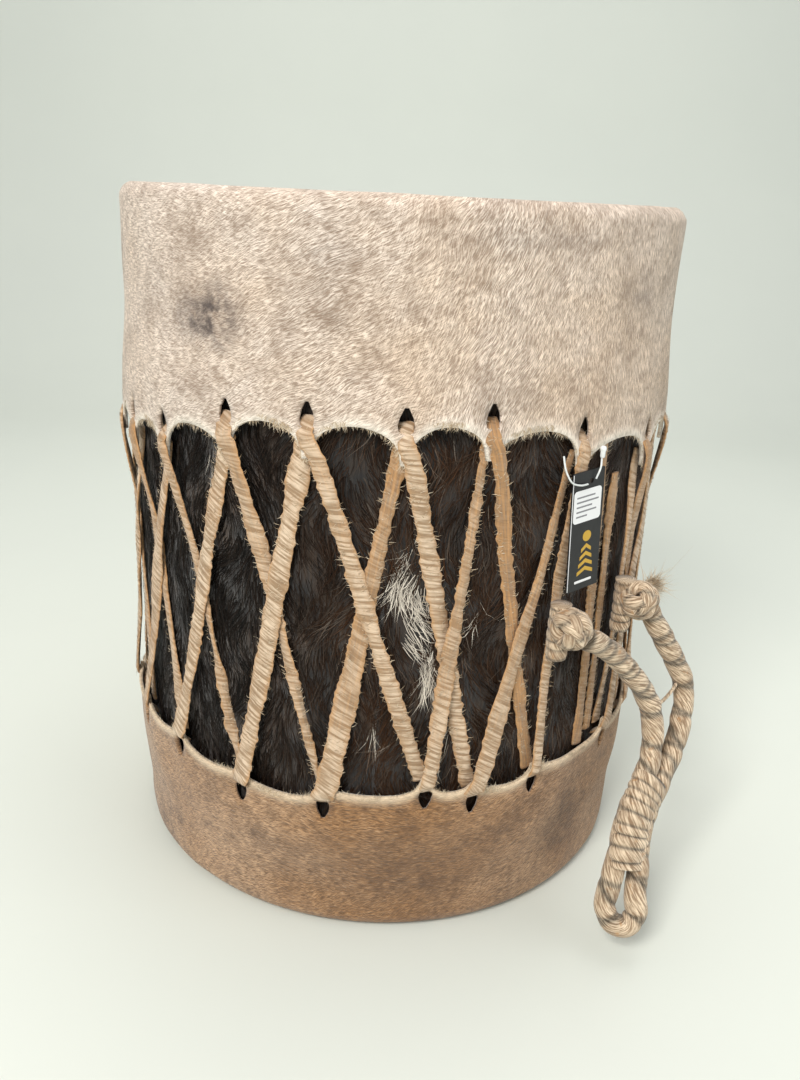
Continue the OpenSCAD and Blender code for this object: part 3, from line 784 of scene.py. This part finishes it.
def thong(points, looks, seed):
    """A hide strip along points: ribs of hair across it, wandering width, a slight roll and cut edges."""
    path, s = even(catmull(points, 12), 1.7)
    r = np.random.default_rng(seed)
    n = len(path)
    share = s / s[-1]
    facing = path * [1, 1, 0]
    _, side, out = frames(path, unit(facing))
    w0, w1, bare0, bare1 = looks
    width = 0.88 * (w0 + (w1 - w0) * smoothstep(share * 1.3 - 0.15))
    wander = waves(np.stack([s, np.full(n, seed * 9.0)], -1), 38, seed)
    width = width * (1 + 0.10 * wander)
    node_at = waves(np.stack([s, np.full(n, 3.0)], -1), 16, seed + 1)
    width = width * (1 + 0.06 * node_at)
    m = 18
    phi = np.arange(m) / m * 2 * math.pi
    cx, cy = np.cos(phi), np.sin(phi)
    sx = np.sign(cx) * np.abs(cx) ** 0.75
    ring_x = width[:, None] / 2 * sx[None, :]
    slant = r.uniform(-0.5, 0.5)
    stray = waves(np.stack([s, np.full(n, 5.0)], -1), 9, seed + 4)
    rib = np.sin(2 * math.pi * (s[:, None] + slant * ring_x * 0.9) / 5.2 + 2.2 * stray[:, None])
    rib = rib * (0.55 + 0.35 * node_at[:, None])
    hairy = 1 - (bare0 + (bare1 - bare0) * share)[:, None]
    thick = THONG_T / 2 * (1 - 0.25 * np.abs(sx[None, :]) ** 3)
    crown = np.clip(cy, 0, 1)[None, :]
    ring_y = cy[None, :] * thick + crown * (0.45 * rib * (0.25 + 0.75 * hairy))
    frill = waves(np.stack([np.repeat(s, m), np.tile(sx * 9, n)], -1), 4.5, seed + 2).reshape(n, m)
    ring_x = ring_x + np.abs(sx[None, :]) ** 6 * np.sign(sx)[None, :] * 0.7 * frill
    roll = math.radians(9) * waves(np.stack([s, np.full(n, 7.0)], -1), 55, seed + 3)
    if w1 < 12 and bare1 > 0.2:
        roll = roll + 0.9 * np.sin(share * 14) * smoothstep(share * 2 - 0.6)
    c, d = np.cos(roll)[:, None], np.sin(roll)[:, None]
    ring_x, ring_y = ring_x * c - ring_y * d, ring_x * d + ring_y * c
    verts, quads, tris = sweep(path, side, out, ring_x, ring_y)
    across = (sx[None, :] * width[:, None] / 2).ravel()
    run = np.stack([np.repeat(s, m), across, np.tile(cy, n)], -1)
    run = with_caps(run) * MM + [seed * 0.37, 0, 0]
    bare = with_caps(np.repeat(1 - hairy[:, 0], m))
    cut = with_caps(np.tile(np.abs(sx) ** 5, n))
    return (verts, quads, tris, {"run": run, "bare": bare, "cut": cut}), (path, width)


def looks_for(i, hand):
    """The looks of a run: those listed for the front, or drawn by chance round the back."""
    if (i, hand) in RUN_LOOKS:
        return RUN_LOOKS[(i, hand)]
    r = np.random.default_rng(100 + i * 2 + (hand > 0))
    widths = r.uniform(12, 17), r.uniform(12, 18)
    return *widths, float(r.choice([0, 0.2, 0.8])), float(r.choice([0, 0.1, 0.4]))


RUNS = []
for i in range(HOLES):
    left_low = i if i == 3 else (i - 1) % HOLES
    right_low = i if i == 2 else (i + 1) % HOLES
    left = run_points(TOP_HOLES[i], LOW_HOLES[left_low], False, i != 3, UNDER_R if i == 0 else OVER_R)
    right = run_points(TOP_HOLES[i], LOW_HOLES[right_low], True, i == 2, OVER_R if i in (21, 2) else UNDER_R)
    parts = []
    for hand, points in ((-1, left), (1, right)):
        part, line = thong(points, looks_for(i, hand), 40 + 2 * i + (hand > 0))
        parts.append(part)
        RUNS.append(line)
    v, q, t, a = join_parts(parts)
    piece = make_mesh("thong_%02d" % (i + 1), v, q, t, [THONG], a)
    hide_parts("lace_%02d" % (i + 1))

SPARES = [[(43, 446), (43.5, 400), (44.5, 320), (46, 230), (46.5, 150)],
          [(48, 408), (48, 360), (48.7, 300), (49.6, 230), (50, 160)]]
parts = []
for k, strap in enumerate(SPARES):
    part, line = thong([on_drum(a, UNDER_R, z) for a, z in strap], (13 - k, 13 - k, 0.8, 0.7), 90 + k)
    parts.append(part)
    RUNS.append(line)
v, q, t, a = join_parts(parts)
SPARE = make_mesh("spare_straps", v, q, t, [THONG], a)
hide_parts("spare_thongs")

# ---- short hair that stands off the skirts' edges and the thongs ----


def fringe(name, edge, top, count, seed):
    """Hair that hangs past a scalloped edge."""
    r = np.random.default_rng(seed)
    e = np.array(edge)
    pick = r.uniform(0, len(e) - 1, count)
    x = np.interp(pick, np.arange(len(e)), e[:, 0])
    z = np.interp(pick, np.arange(len(e)), e[:, 1]) + (1 if top else -1) * r.uniform(-0.5, 5, count)
    a = x / MM_PER_DEG
    normal = on_drum(a, 1.0, 0 * z)
    away = np.tile([0, 0, -1.0 if top else 1.0], (count, 1))
    lay = away + np.cross(normal, away) * r.normal(0, 0.5, count)[:, None]
    roots = on_drum(a, LIFT_OUT + 0.4, z)
    length = r.uniform(2.0, 6.5, count) * (1 + 0.4 * waves(roots, 9, seed))
    width = r.uniform(0.3, 0.6, count)
    rise = r.uniform(-0.1, 0.25, count)
    v, q, t, share, per = strands(roots, normal, lay, length, width, rise, 0.8, seed, 2)
    ob = make_mesh(name, v, q, t, [PALE_PILE], {"tint": np.repeat(r.uniform(0.25, 1, count), per),
                                                "share": share, "flat": v * MM})
    return ob


TOP_FRINGE = fringe("top_edge_hair", TOP_EDGE, True, 9000, 51)
LOW_FRINGE = fringe("bottom_edge_hair", LOW_EDGE, False, 7000, 52)


def thong_hair(name, count, seed):
    """Short hair across the thongs' outer faces and past their edges."""
    r = np.random.default_rng(seed)
    share_of = np.array([len(p) for p, _ in RUNS], float)
    which = r.choice(len(RUNS), count, p=share_of / share_of.sum())
    roots, normals, lays = [], [], []
    for k in which:
        path, width = RUNS[k]
        j = r.integers(2, len(path) - 2)
        along = path[j + 1] - path[j - 1]
        along = along / np.linalg.norm(along)
        o = path[j] * [1, 1, 0]
        o = o / np.linalg.norm(o)
        side = np.cross(o, along)
        off = r.uniform(-0.5, 0.5)
        roots.append(path[j] + side * width[j] * off + o * THONG_T * (0.5 - 0.25 * abs(off)))
        normals.append(o)
        lays.append(side * math.copysign(1.0, off + r.normal(0, 0.12)) + along * r.normal(-0.4, 0.5))
    length, width, rise = r.uniform(2.5, 6, count), r.uniform(0.35, 0.7, count), r.uniform(0.05, 0.35, count)
    v, q, t, share, per = strands(np.array(roots), np.array(normals), np.array(lays), length, width, rise,
                                  0.8, seed, 2)
    ob = make_mesh(name, v, q, t, [PALE_PILE], {"tint": np.repeat(r.uniform(0, 0.9, count), per),
                                                "share": share, "flat": v * MM})


thong_hair("thong_fuzz", 15000, 53)

# ---- dark body hide ----

TURNS, ROWS = 300, 74
a = np.arange(TURNS) / TURNS * 360
z = np.linspace(30, 585, ROWS)
aa, zz = np.meshgrid(a, z)
flat2 = np.stack([aa.ravel() * MM_PER_DEG, zz.ravel()], -1)
radius = WRAP_R + 0.6 * waves(flat2, 30, 71) + 0.4 * waves(flat2, 12, 72)
verts = on_drum(aa.ravel(), np.minimum(radius, WRAP_R + 1.0), zz.ravel())
ids = np.arange(TURNS * ROWS).reshape(ROWS, TURNS)
nxt = np.roll(ids, -1, 1)
quads = np.stack([ids[:-1], nxt[:-1], nxt[1:], ids[1:]], -1).reshape(-1, 4)
upright = np.zeros(len(flat2))
SKIN_PIECE = make_mesh("dark_hide", verts, quads, None, [DARK_SKIN],
                       {"flat": np.column_stack([flat2, upright]) * MM, "lay": upright})
solid = SKIN_PIECE.modifiers.new("skin", "SOLIDIFY")
solid.thickness = 4 * MM
solid.offset = -1
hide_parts("body_hide")

PILE = 52000
pa = rng.uniform(-180, 180, PILE)
pz = rng.uniform(128, 470, PILE)
flat2 = np.stack([pa * MM_PER_DEG, pz], -1)
clump = waves(flat2, 15, 81)
sway = 0.55 * waves(flat2, 60, 82) + 0.35 * waves(flat2, 22, 83)
normal = on_drum(pa, 1.0, 0 * pz)
down = np.tile([0.0, 0.0, -1.0], (PILE, 1))
across = np.cross(normal, down)
lay = down + across * sway[:, None]
length = rng.uniform(17, 34, PILE) * (1 + 0.2 * clump)
width = rng.uniform(0.5, 1.0, PILE)
rise = np.clip(0.13 + 0.06 * clump + rng.normal(0, 0.05, PILE), 0.02, 0.35)
PILE_R = 251.5
v, q, t, share, per = strands(on_drum(pa, WRAP_R + 0.2, pz), normal, lay, length, width, rise, 0.55, 5, 2,
                              PILE_R)
tree = kdtree.KDTree(sum(len(p[::3]) for p, _ in RUNS))
half = []
for path, w in RUNS:
    for p, ww in zip(path[::3], w[::3]):
        tree.insert(p, len(half))
        half.append(ww / 2)
tree.balance()
top = np.linalg.norm(v[:, :2], axis=1)
for k in np.nonzero(top > WRAP_R + 0.3)[0]:
    _, index, gap = tree.find(v[k])
    near = half[index] + 1.5
    if gap < near + 6:
        cap = WRAP_R + 0.5 + 5.0 * max(0.0, (gap - near) / 6)
        if top[k] > cap:
            v[k, :2] *= cap / top[k]
# the hide's colour: black at the left, brown toward the right, one white patch; the paler brown clumps in the
# centre-right are painted highlights on the hair
patches = [(4.2, 354, 1.6, 9), (3.0, 326, 2.2, 18), (4.7, 290, 2.3, 20), (8.6, 236, 1.7, 18),
           (8.2, 262, 1.9, 12), (5.6, 318, 1.8, 16), (12.4, 193, 1.0, 8), (11.9, 169, 1.0, 8),
           (17.5, 300, 0.4, 15), (-1, 194, 0.9, 7), (-35, 405, 0.5, 7)]
brown = waves(flat2, 34, 84) * 0.5 + waves(flat2, 9, 85) * 0.35
tint = 0.03 + 0.15 * smoothstep((pa + 32) / 40) * (1 + brown) + 0.05 * rng.uniform(-1, 1, PILE)
# painted highlight: clumps of paler brown hair in the centre-right
tint += 0.12 * np.clip(waves(flat2, 5.5, 86), 0, 1) * smoothstep((pa + 30) / 35)
white = np.zeros(PILE)
for ca, cz, wa, wz in patches:
    white = np.maximum(white, np.exp(-((pa - ca) / wa) ** 2 - ((pz - cz - 8) / wz) ** 2))
torn = waves(flat2 * [1.0, 0.35], 7, 87)
is_white = white * (1 + 0.3 * torn + rng.normal(0, 0.15, PILE)) > 0.36
sway = np.where(is_white, sway * 0.4, sway)
tint = np.where(is_white, rng.uniform(0.75, 1.0, PILE), np.clip(tint, 0, 0.5))
flat3 = np.repeat(np.column_stack([flat2, np.zeros(PILE)]) * MM, per, 0)
PILE_PIECE = make_mesh("dark_hide_pile", v, q, t, [DARK_PILE],
                       {"tint": np.repeat(tint, per), "share": share, "flat": flat3})

# ---- carrying loop ----

ROPE_D, KNOT_Z = 19.0, 296.0
KNOT_A, KNOT_B = on_drum(32.5, 277.0, KNOT_Z), on_drum(52.0, 277.0, KNOT_Z)
MID, LEAN = math.radians((32.5 + 52.0) / 2), math.radians(15)
LOOP_U = unit(KNOT_B - KNOT_A)
LOOP_D = np.array([math.sin(MID) * math.sin(LEAN), -math.cos(MID) * math.sin(LEAN), -math.cos(LEAN)])
LOOP_N = np.cross(LOOP_D, LOOP_U) * -1
LOOP_N = LOOP_N if LOOP_N @ [math.sin(MID), -math.cos(MID), 0] > 0 else -LOOP_N

ROPE_ROUTE = [(16, 12, 0), (39, 26, 0), (59, 44, 0), (77, 65, 0), (90, 84, 0), (97, 104, 0), (96, 124, 0),
              (88, 145, 0), (72, 163, -1), (52, 181, -2), (40, 203, -3), (31, 222, -5), (23, 240, -8),
              (17, 256, -9), (19, 268, -4), (27, 272, 4), (35, 264, 9), (39, 248, 8), (48, 232, 5),
              (57, 214, 3),
              (68, 194, 2), (90, 175, 1), (112, 160, 0), (130, 142, 0), (142, 124, 0), (149, 106, 0),
              (149, 90, 0), (142, 72, 0), (131, 53, 0), (120, 34, 0), (108, 14, 0)]
BINDING_ROUTE = [(88, 163, 0), (72, 175, 0), (58, 190, 0), (48, 208, 0), (41, 225, 0)]
LASHING_ROUTE = [(106, 100, 0), (118, 97, 1), (130, 93, 1), (139, 90, 0)]


def in_loop(points):
    """Points on the carrying loop's plane (across, down, out) in the drum's frame."""
    p = np.asarray(points, float)
    return KNOT_A + p[:, :1] * LOOP_U + p[:, 1:2] * LOOP_D + p[:, 2:] * LOOP_N


def wound_tube(path, s, radius, pitch, lobes, seed, ring=26, bands=0.0, oval=None, hand=1):
    """A tube of hide wound round in a helix: lobes of so many strands and fine hairy ridges."""
    _, side, out = carry_frames(path, LOOP_N)
    n = len(path)
    phi = np.arange(ring) / ring * 2 * math.pi
    turn = phi[None, :] * lobes + hand * 2 * math.pi * s[:, None] / pitch
    turn = turn + 0.9 * waves(np.stack([s, s * 0], -1), 20, seed + 60)[:, None]
    ridge = np.abs(np.sin(turn / 2)) ** 0.6
    lumps = waves(np.stack([np.repeat(s, ring), np.tile(phi * 8, n)], -1), 22, seed).reshape(n, ring)
    r = radius * (0.86 + 0.14 * ridge) * (1 + 0.03 * lumps)
    # this mask marks the low parts between the lobes and turns, which get painted shade in the rope material
    groove_shade = np.clip(1.35 - ridge * 1.9, 0, 1)
    if bands:
        # the bands are drawn a little narrower and get the same painted shade
        dark = np.clip(np.cos(2 * math.pi * s / bands) * 3 - 2.2, 0, 1)[:, None]
        groove_shade = np.maximum(groove_shade, dark)
        r = r * (1 - 0.05 * dark)
    wide, tall = oval if oval else (1.0, 1.0)
    ring_x, ring_y = r * np.cos(phi)[None, :] * wide, r * np.sin(phi)[None, :] * tall
    verts, quads, tris = sweep(path, side, out, ring_x, ring_y)
    run = np.stack([np.repeat(s, ring), np.tile(phi * radius, n), np.zeros(n * ring)], -1) * MM
    run = with_caps(run) + [seed * 0.21, 0, 0]
    groove_shade = with_caps(np.broadcast_to(groove_shade, (n, ring)).ravel())
    return verts, quads, tris, {"run": run, "groove_shade": groove_shade}


rope_path, rope_s = even(catmull(in_loop(ROPE_ROUTE), 10), 1.5)
v, q, t, a = wound_tube(rope_path, rope_s, ROPE_D / 2 + 0.4, 27.0, 1, 3, bands=31.0)
ROPE_PIECE = make_mesh("carry_rope", v, q, t, [ROPE], a, body="handle")
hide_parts("handle_rope")

bind_path, bind_s = even(catmull(in_loop(BINDING_ROUTE), 12), 1.0)
v, q, t, a = wound_tube(bind_path, bind_s, 11.5, 9.0, 0, 9, ring=40, oval=(1.9, 1.12))
BINDING = make_mesh("rope_binding", v, q, t, [ROPE], a, body="handle")
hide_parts("handle_binding")

lash_path, lash_s = even(catmull(in_loop(LASHING_ROUTE), 12), 1.0)
v, q, t, a = wound_tube(lash_path, lash_s, 1.7, 5.0, 1, 10, ring=10)
LASHING = make_mesh("rope_lashing", v, q, t, [ROPE], a, body="handle")
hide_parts("handle_lashing")


def knot_piece(name, centre, a, seed):
    """Rope wound over itself round the thong: crossing turns on a ball, and an upright stub."""
    t = np.linspace(0, 1, 220)
    around = t * 2 * math.pi * 4.0
    swing = 0.75 * np.sin(t * 2 * math.pi * 3.0 + seed)
    flat_turn = np.cos(swing)
    ball = 11.0 * np.stack([np.cos(around) * flat_turn, np.sin(around) * flat_turn, np.sin(swing)], -1)
    o = unit(np.array([centre[0], centre[1], 0]))
    basis = np.stack([o, np.cross([0, 0, 1.0], o), [0, 0, 1.0]])
    tilt = Matrix.Rotation(0.5 + seed, 3, "X")
    path, s = even(centre + ball @ np.array(tilt) @ basis, 1.4)
    one = wound_tube(path, s, 6.6, 13.0, 1, seed + 20, ring=14)
    stub, ss = even(np.array([on_drum(a, OVER_R + 10.5, KNOT_Z + d) for d in (-32, -16, 0, 16)]), 1.4)
    two = wound_tube(stub, ss, 9.6, 9.0, 0, seed + 30, ring=18, oval=(1.0, 0.9))
    v, q, t2, at = join_parts([one, two])
    ob = make_mesh(name, v, q, t2, [ROPE], at)
    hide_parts("knot_front" if seed == 1 else "knot_side")
    return ob


knot_piece("front_knot", KNOT_A, 32.5, 1)
knot_piece("side_knot", KNOT_B, 52.0, 2)


def tuft(name, root, tip, count, spread, seed):
    """A cut end of hide that frays into hair."""
    r = np.random.default_rng(seed)
    way = unit(tip - root)
    reach = np.linalg.norm(tip - root)
    first = np.cross(way, [0, 0, 1.0])
    first /= np.linalg.norm(first)
    second = np.cross(way, first)
    ang, rad = r.uniform(0, 2 * math.pi, count), 4.5 * np.sqrt(r.uniform(0, 1, count))
    cone = np.cos(ang)[:, None] * first + np.sin(ang)[:, None] * second
    roots = root + cone * rad[:, None]
    lay = way + cone * spread * r.uniform(0, 1, count)[:, None]
    v, q, t, share, per = strands(roots, cone, lay, reach * r.uniform(0.6, 1.05, count),
                                  r.uniform(0.7, 1.6, count), 0.06, 0.6, seed, 3)
    n = count
    return make_mesh(name, v, q, t, [PALE_PILE],
                     {"tint": np.repeat(r.uniform(0.2, 1, n), per), "share": share, "flat": v * MM})


TUFT = tuft("frayed_tuft", on_drum(57, 271, 299), on_drum(66.5, 279, 288), 420, 0.35, 41)
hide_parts("frayed_end")

# ---- swing tag ----

TAG_A, TAG_REACH, TAG_TOP, TAG_SIDE, TAG_TILT = 36.0, 262.5, 422.5, -3.3, math.radians(4.3)
TAG_W, TAG_H, TAG_T = 35.0, 101.0, 1.0
TAG_OUT = on_drum(TAG_A, 1.0, 0.0)
TAG_X = np.array([math.cos(math.radians(TAG_A)), math.sin(math.radians(TAG_A)), 0.0])


def tag_place(points, tilted=True):
    """Card points (across, out, up from the top edge) in the drum's frame."""
    p = np.asarray(points, float)
    x, z = p[:, 0], p[:, 2]
    if tilted:
        x, z = (x * math.cos(TAG_TILT) - z * math.sin(TAG_TILT) + TAG_SIDE,
                x * math.sin(TAG_TILT) + z * math.cos(TAG_TILT))
    height = np.array([0, 0, 1.0]) * (TAG_TOP + z)[:, None]
    return TAG_OUT * (TAG_REACH + p[:, 1:2]) + TAG_X * x[:, None] + height


def card_piece(name, outline, y0, y1, material, holes=(), replaces=None):
    """A thin printed layer with that outline of (across, up) points on the tag."""
    points = [Vector(p) for p in outline]
    edges = [(i, (i + 1) % len(outline)) for i in range(len(outline))]
    for hole in holes:
        first = len(points)
        points += [Vector(p) for p in hole]
        edges += [(first + i, first + (i + 1) % len(hole)) for i in range(len(hole))]
    out = geometry.delaunay_2d_cdt(points, edges, [], 2 if holes else 1, 1e-6)
    v2 = np.array([(p.x, p.y) for p in out[0]])
    rounds = [(np.mean(h, 0), np.hypot(*(np.array(h[0]) - np.mean(h, 0)))) for h in holes]
    faces = []
    for f in out[2]:
        c = v2[list(f)].mean(0)
        if not any(np.hypot(*(c - mid)) < radius * 0.95 for mid, radius in rounds):
            faces.append(tuple(f))
    n = len(v2)
    count = {}
    for f in faces:
        for i in range(3):
            e = (f[i], f[(i + 1) % 3])
            count[tuple(sorted(e))] = count.get(tuple(sorted(e)), []) + [e]
    rim = [e[0] for e in count.values() if len(e) == 1]
    verts = np.vstack([np.column_stack([v2[:, 0], np.full(n, y), v2[:, 1]]) for y in (y1, y0)])
    tris = [f for f in faces] + [(n + f[0], n + f[2], n + f[1]) for f in faces]
    quads = [(b, a, n + a, n + b) for a, b in rim]
    ob = make_mesh(name, tag_place(verts), quads, tris, [material], body="tag")
    for p in ob.data.polygons:
        p.use_smooth = False
    if replaces:
        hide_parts(replaces)
    return ob


def rounded(x0, x1, z0, z1, r, steps=5):
    """A rectangle's outline with round corners."""
    out = []
    left, right, low, high = x0 + r, x1 - r, z0 + r, z1 - r
    for cx, cz, start in ((right, high, 0), (left, high, 90), (left, low, 180), (right, low, 270)):
        for k in range(steps + 1):
            t = math.radians(start + 90 * k / steps)
            out.append((cx + r * math.cos(t), cz + r * math.sin(t)))
    return out


def circle(cx, cz, r, steps=24):
    return [(cx + r * math.cos(k * 2 * math.pi / steps), cz + r * math.sin(k * 2 * math.pi / steps))
            for k in range(steps)]


card_piece("tag_card_face", rounded(-TAG_W / 2, TAG_W / 2, -TAG_H, 0, 1.2), -TAG_T / 2, TAG_T / 2, CARD,
           [circle(3.3, -9, 2.2)], "tag_card")
card_piece("tag_blank_label", rounded(-15, 15, -42, -15, 3), TAG_T / 2, TAG_T / 2 + 0.3, PAPER,
           replaces="tag_label")
for k, (drop, span) in enumerate([(20, 20), (24, 24), (28, 17), (32, 22), (36, 12)]):
    bar = rounded(-12, -12 + span, -drop - 1.3, -drop, 0.3)
    card_piece("tag_label_bar_%d" % (k + 1), bar, TAG_T / 2 + 0.3, TAG_T / 2 + 0.42, INK)
card_piece("tag_edge_line", rounded(-TAG_W / 2 + 0.6, -TAG_W / 2 + 1.3, -TAG_H + 1, -1, 0.2), TAG_T / 2,
           TAG_T / 2 + 0.12, PAPER)
card_piece("tag_foot_bar", rounded(-9, 10, -95, -92.8, 0.6), TAG_T / 2, TAG_T / 2 + 0.12, PAPER)
# a plain geometric motif: stacked chevrons over a disc
card_piece("tag_motif_disc", circle(2, -55, 4.6), TAG_T / 2, TAG_T / 2 + 0.12, GOLD)
for k in range(4):
    top_z = -61.5 - 6.6 * k
    half_w = 5.5 + 1.1 * k
    chevron = [(2 - half_w, top_z - 4), (2, top_z), (2 + half_w, top_z - 4), (2 + half_w, top_z - 7.2),
               (2, top_z - 3.4), (2 - half_w, top_z - 7.2)]
    card_piece("tag_motif_%d" % (k + 1), chevron, TAG_T / 2, TAG_T / 2 + 0.12, GOLD)


def wire(points, radius, ring=10):
    """A plain round strand of the tag's loop."""
    path, _ = even(catmull(tag_place(points, False), 10), 0.6)
    _, side, out = carry_frames(path, unit(np.cross(path[1] - path[0], [0.2, 0.3, 1.0])))
    phi = np.arange(ring) / ring * 2 * math.pi
    rx = np.broadcast_to(radius * np.cos(phi), (len(path), ring))
    ry = np.broadcast_to(radius * np.sin(phi), (len(path), ring))
    v, q, t = sweep(path, side, out, rx, ry)
    return v, q, t, {}


LOOP_LEFT = [(-34, 1, 15), (-32, 3, 4), (-25, 4, -6), (-14, 3, -10), (-5, 2, -10.5)]
LOOP_RIGHT = [(3, 2.5, -7), (5, 4, 2), (6, 3, 9)]
v, q, t, _ = join_parts([wire(LOOP_LEFT, 0.75), wire(LOOP_RIGHT, 0.75)])
loop = make_mesh("tag_plastic_loop", v, q, t, [PLASTIC], body="tag")
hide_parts("tag_loop")

lathe = [(0.6, 9.2), (1.6, 9.6), (2.0, 11), (2.0, 14.6), (2.4, 15.4), (2.6, 16.7), (2.1, 18.3), (1.0, 18.9)]
steps = 24
phi = np.arange(steps) / steps * 2 * math.pi
base = tag_place([(6.5, 3, 0)], False)[0]
v = np.array([base + [r * math.cos(p), r * math.sin(p), h] for r, h in lathe for p in phi])
j = np.arange(steps)
q = np.vstack([np.stack([r * steps + j, r * steps + (j + 1) % steps, (r + 1) * steps + (j + 1) % steps,
                         (r + 1) * steps + j], 1) for r in range(len(lathe) - 1)])
v = np.vstack([v, base + [0, 0, 9.1], base + [0, 0, 19.0]])
n = len(lathe) * steps
t = np.vstack([np.stack([(j + 1) % steps, j, np.full(steps, n)], 1),
               np.stack([n - steps + j, n - steps + (j + 1) % steps, np.full(steps, n + 1)], 1)])
anchor = make_mesh("tag_anchor_bead", v, q, t, [PLASTIC], body="tag")
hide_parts("tag_anchor")

# ---- shell, floor, light and camera ----

for ob in bpy.data.objects:
    if ob.type == "MESH" and ob.name.startswith("shell"):
        ob.data.materials.clear()
        ob.data.materials.append(WOOD)

floor_net = Net("floor", 0.6)
where = floor_net.node("TexCoord").outputs["Object"]
tone = floor_net.noise(where, 2.0, 3.0, 0.6)
floor_mat = floor_net.finish(floor_net.mix(tone, (0.66, 0.69, 0.64), (0.70, 0.73, 0.67)), None,
                             floor_net.bump(floor_net.noise(where, 90.0, 3.0, 0.6), 0.05, 0.001))
BEND_Y, BEND_R = 1.6, 0.9
turns = [k * math.pi / 16 for k in range(1, 9)]
bend = [(BEND_Y + BEND_R * math.sin(t), BEND_R - BEND_R * math.cos(t)) for t in turns]
rise = [(-3.0, 0.0), (BEND_Y, 0.0), *bend, (BEND_Y + BEND_R, 3.5)]
me = bpy.data.meshes.new("floor")
me.from_pydata([(x, y, h - 0.0005) for y, h in rise for x in (-4, 4)], [],
               [(2 * k, 2 * k + 1, 2 * k + 3, 2 * k + 2) for k in range(len(rise) - 1)])
me.shade_smooth()
me.materials.append(floor_mat)
floor = bpy.data.objects.new("floor", me)
bpy.context.scene.collection.objects.link(floor)


def area_light(name, at, target, size, power, colour=(1, 0.97, 0.93)):
    light = bpy.data.lights.new(name, "AREA")
    light.energy = power
    light.size = size
    light.color = colour
    ob = bpy.data.objects.new(name, light)
    ob.location = at
    ob.rotation_euler = (Vector(target) - Vector(at)).to_track_quat("-Z", "Y").to_euler()
    bpy.context.scene.collection.objects.link(ob)


area_light("key", (-0.9, -2.0, 2.2), (0, 0, 0.3), 0.9, 66)
area_light("fill", (2.2, -1.2, 1.3), (0, 0, 0.3), 2.0, 20, (0.96, 0.98, 1.0))
area_light("top", (0.1, 0.6, 2.6), (0, 0, 0.4), 1.8, 30)

world = bpy.data.worlds.new("studio")
bpy.context.scene.world = world
world.use_nodes = True
world.node_tree.nodes["Background"].inputs["Color"].default_value = (0.90, 0.935, 0.94, 1)
world.node_tree.nodes["Background"].inputs["Strength"].default_value = 0.5

yaw, pitch = math.radians(0.744), math.radians(20.58)
roll = math.atan2(0.0488, 0.9988)
forward = Vector((math.sin(yaw) * math.cos(pitch), math.cos(yaw) * math.cos(pitch), -math.sin(pitch)))
flat_right = Vector((math.cos(yaw), -math.sin(yaw), 0))
flat_up = flat_right.cross(forward)
right = flat_right * math.cos(roll) + flat_up * math.sin(roll)
up = right.cross(forward)
camera_data = bpy.data.cameras.new("camera")
camera_data.lens = 30.543
camera_data.sensor_width = 36
camera_data.dof.use_dof = False
camera = bpy.data.objects.new("camera", camera_data)
camera.matrix_world = Matrix(((right.x, up.x, -forward.x, 0.0), (right.y, up.y, -forward.y, -0.8938),
                              (right.z, up.z, -forward.z, 0.6134), (0, 0, 0, 1)))
bpy.context.scene.collection.objects.link(camera)
bpy.context.scene.camera = camera
bpy.context.scene.view_settings.view_transform = "Standard"

bpy.context.view_layer.update()
